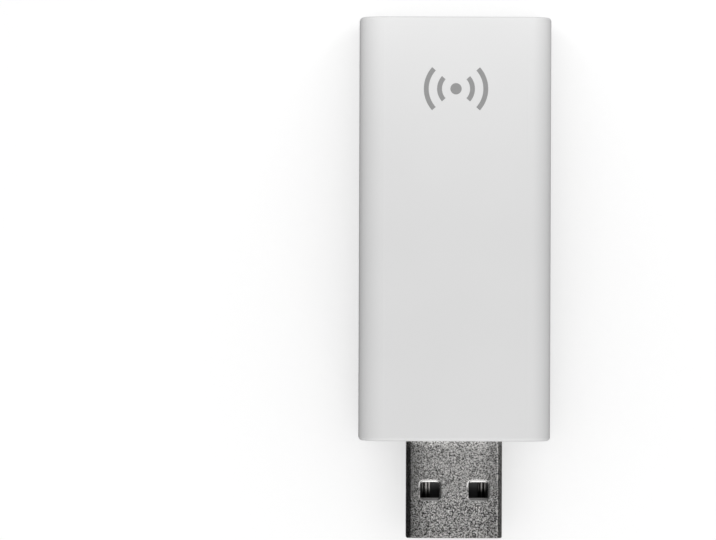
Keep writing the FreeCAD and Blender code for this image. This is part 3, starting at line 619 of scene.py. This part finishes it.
def add_mark():
    """Generic radio waves, printed near the antenna end of the front cover."""
    pieces = [dot()]
    pieces += [band_of_ring(*ring, facing_deg) for ring in MARK_RINGS for facing_deg in (0.0, 180.0)]
    corners, faces = [], []
    for piece_corners, piece_faces in pieces:
        start = len(corners)
        corners += piece_corners
        faces += [tuple(start + index for index in face) for face in piece_faces]
    mark = add_object("radio_mark", corners, faces, ink())
    mark.location = (middle.x, top.y - MARK_FROM_END, top.z)
    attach(mark, "root")


def add_camera():
    """Camera straight above the stick, placed so that the stick fills the photograph's frame as there."""
    data = bpy.data.cameras.new("camera")
    data.lens = LENS_MM
    data.sensor_width = SENSOR_MM
    data.clip_start = 0.01
    data.clip_end = 20.0
    camera = bpy.data.objects.new("camera", data)
    bpy.context.scene.collection.objects.link(camera)
    camera.rotation_euler = (0, 0, math.radians(STICK_LEAN_DEG))
    right_px = STICK_MIDDLE_PX[0] - PHOTO_WIDTH / 2
    up_px = PHOTO_HEIGHT / 2 - STICK_MIDDLE_PX[1]
    away_px = LENS_MM / SENSOR_MM * PHOTO_WIDTH
    to_stick = Vector((right_px, up_px, -away_px)) / PIXELS_PER_MM * MM
    to_stick.rotate(camera.rotation_euler)
    camera.location = middle - to_stick
    bpy.context.scene.camera = camera


def add_floor():
    """Plain pale table top, which glows a little so that it stays white."""
    m = Material("floor_paper", Roughness=0.9, Specular_IOR_Level=0.0, Emission_Strength=FLOOR_GLOW)
    m.shader.inputs["Emission Color"].default_value = (1, 1, 1, 1)
    m.paint(m.blend_colour(m.noise(900, 3.0), grey(0.53), grey(0.55)))
    half, z = FLOOR_HALF, bottom.z - FLOOR_GAP
    corners = [(-half, -half, z), (half, -half, z), (half, half, z), (-half, half, z)]
    floor = add_object("floor", corners, [(0, 1, 2, 3)], m.material)
    floor.visible_glossy = False
    floor.visible_diffuse = False


def add_panel(name, place, size, power, aim=(0, 0, 0)):
    """Soft box that faces aim, which is measured from the stick's middle, as place is."""
    data = bpy.data.lights.new(name, "AREA")
    data.shape = "RECTANGLE"
    data.size, data.size_y = size[0] * MM, size[1] * MM
    data.energy = power
    light = bpy.data.objects.new(name, data)
    light.location = Vector(place) * MM + middle
    light.rotation_euler = (Vector(aim) - Vector(place)).to_track_quat("-Z", "Y").to_euler()
    light.visible_camera = False
    light.visible_glossy = False
    bpy.context.scene.collection.objects.link(light)


def add_world():
    """Even white surround for matt surfaces, and for shiny ones a dim room with lights before the plug."""
    world = bpy.data.worlds.new("studio")
    bpy.context.scene.world = world
    world.use_nodes = True
    n = Nodes(world.node_tree)
    x, y, z = n.split(n.node("ShaderNodeTexCoord").outputs["Generated"])

    def ramp(value, *limits):
        return n.spread(value, *limits, interpolation_type="SMOOTHSTEP")

    def hump(value, centre, top_half, foot_half):
        return ramp(n.size(n.less(value, centre)), top_half, foot_half, 1.0, 0.0)

    matt = ramp(z, *HORIZON, 0.0, WORLD_LIGHT)
    window = n.times(hump(x, *WINDOW_HUMP_X), ramp(y, *WINDOW_RAMP_Y))
    corner = n.times(ramp(x, *CORNER_RAMP_X), ramp(y, *CORNER_RAMP_Y))
    front = n.highest(n.highest(window, ramp(y, *LOW_FRONT_RAMP_Y)), corner)
    strip = n.times(hump(x, *STRIP_HUMP_X), STRIP_LIGHT)
    lamps = n.times(n.math("ADD", front, strip), ramp(z, *LAMPS_RAMP_Z))
    room = n.math("ADD", ramp(x, *ROOM_RAMP_X), ramp(y, *ROOM_RAMP_Y))
    shiny = n.math("ADD", lamps, room)

    in_gloss = n.node("ShaderNodeLightPath").outputs["Is Glossy Ray"]
    background = n.tree.nodes["Background"]
    background.inputs["Color"].default_value = (1, 1, 1, 1)
    n.tree.links.new(n.fade(matt, shiny, in_gloss), background.inputs["Strength"])


def light_studio():
    """World, panels at both ends, and plain output colours."""
    add_world()
    add_panel("near_panel", *NEAR_PANEL)
    far_edge = Vector((0, top.y - middle.y, top.z - middle.z)) / MM
    (sideways, beyond, above), size, power = FAR_PANEL
    for name, x in (("far_left_panel", -sideways), ("far_right_panel", sideways)):
        aim = far_edge + Vector((x / 2, 0, 0))
        add_panel(name, far_edge + Vector((x, beyond, above)), size, power, aim)
    settings = bpy.context.scene.view_settings
    settings.view_transform = "Standard"
    settings.look = "None"
    settings.exposure = 0.0


add_camera()
dress_nodes()
add_mark()
add_floor()
light_studio()
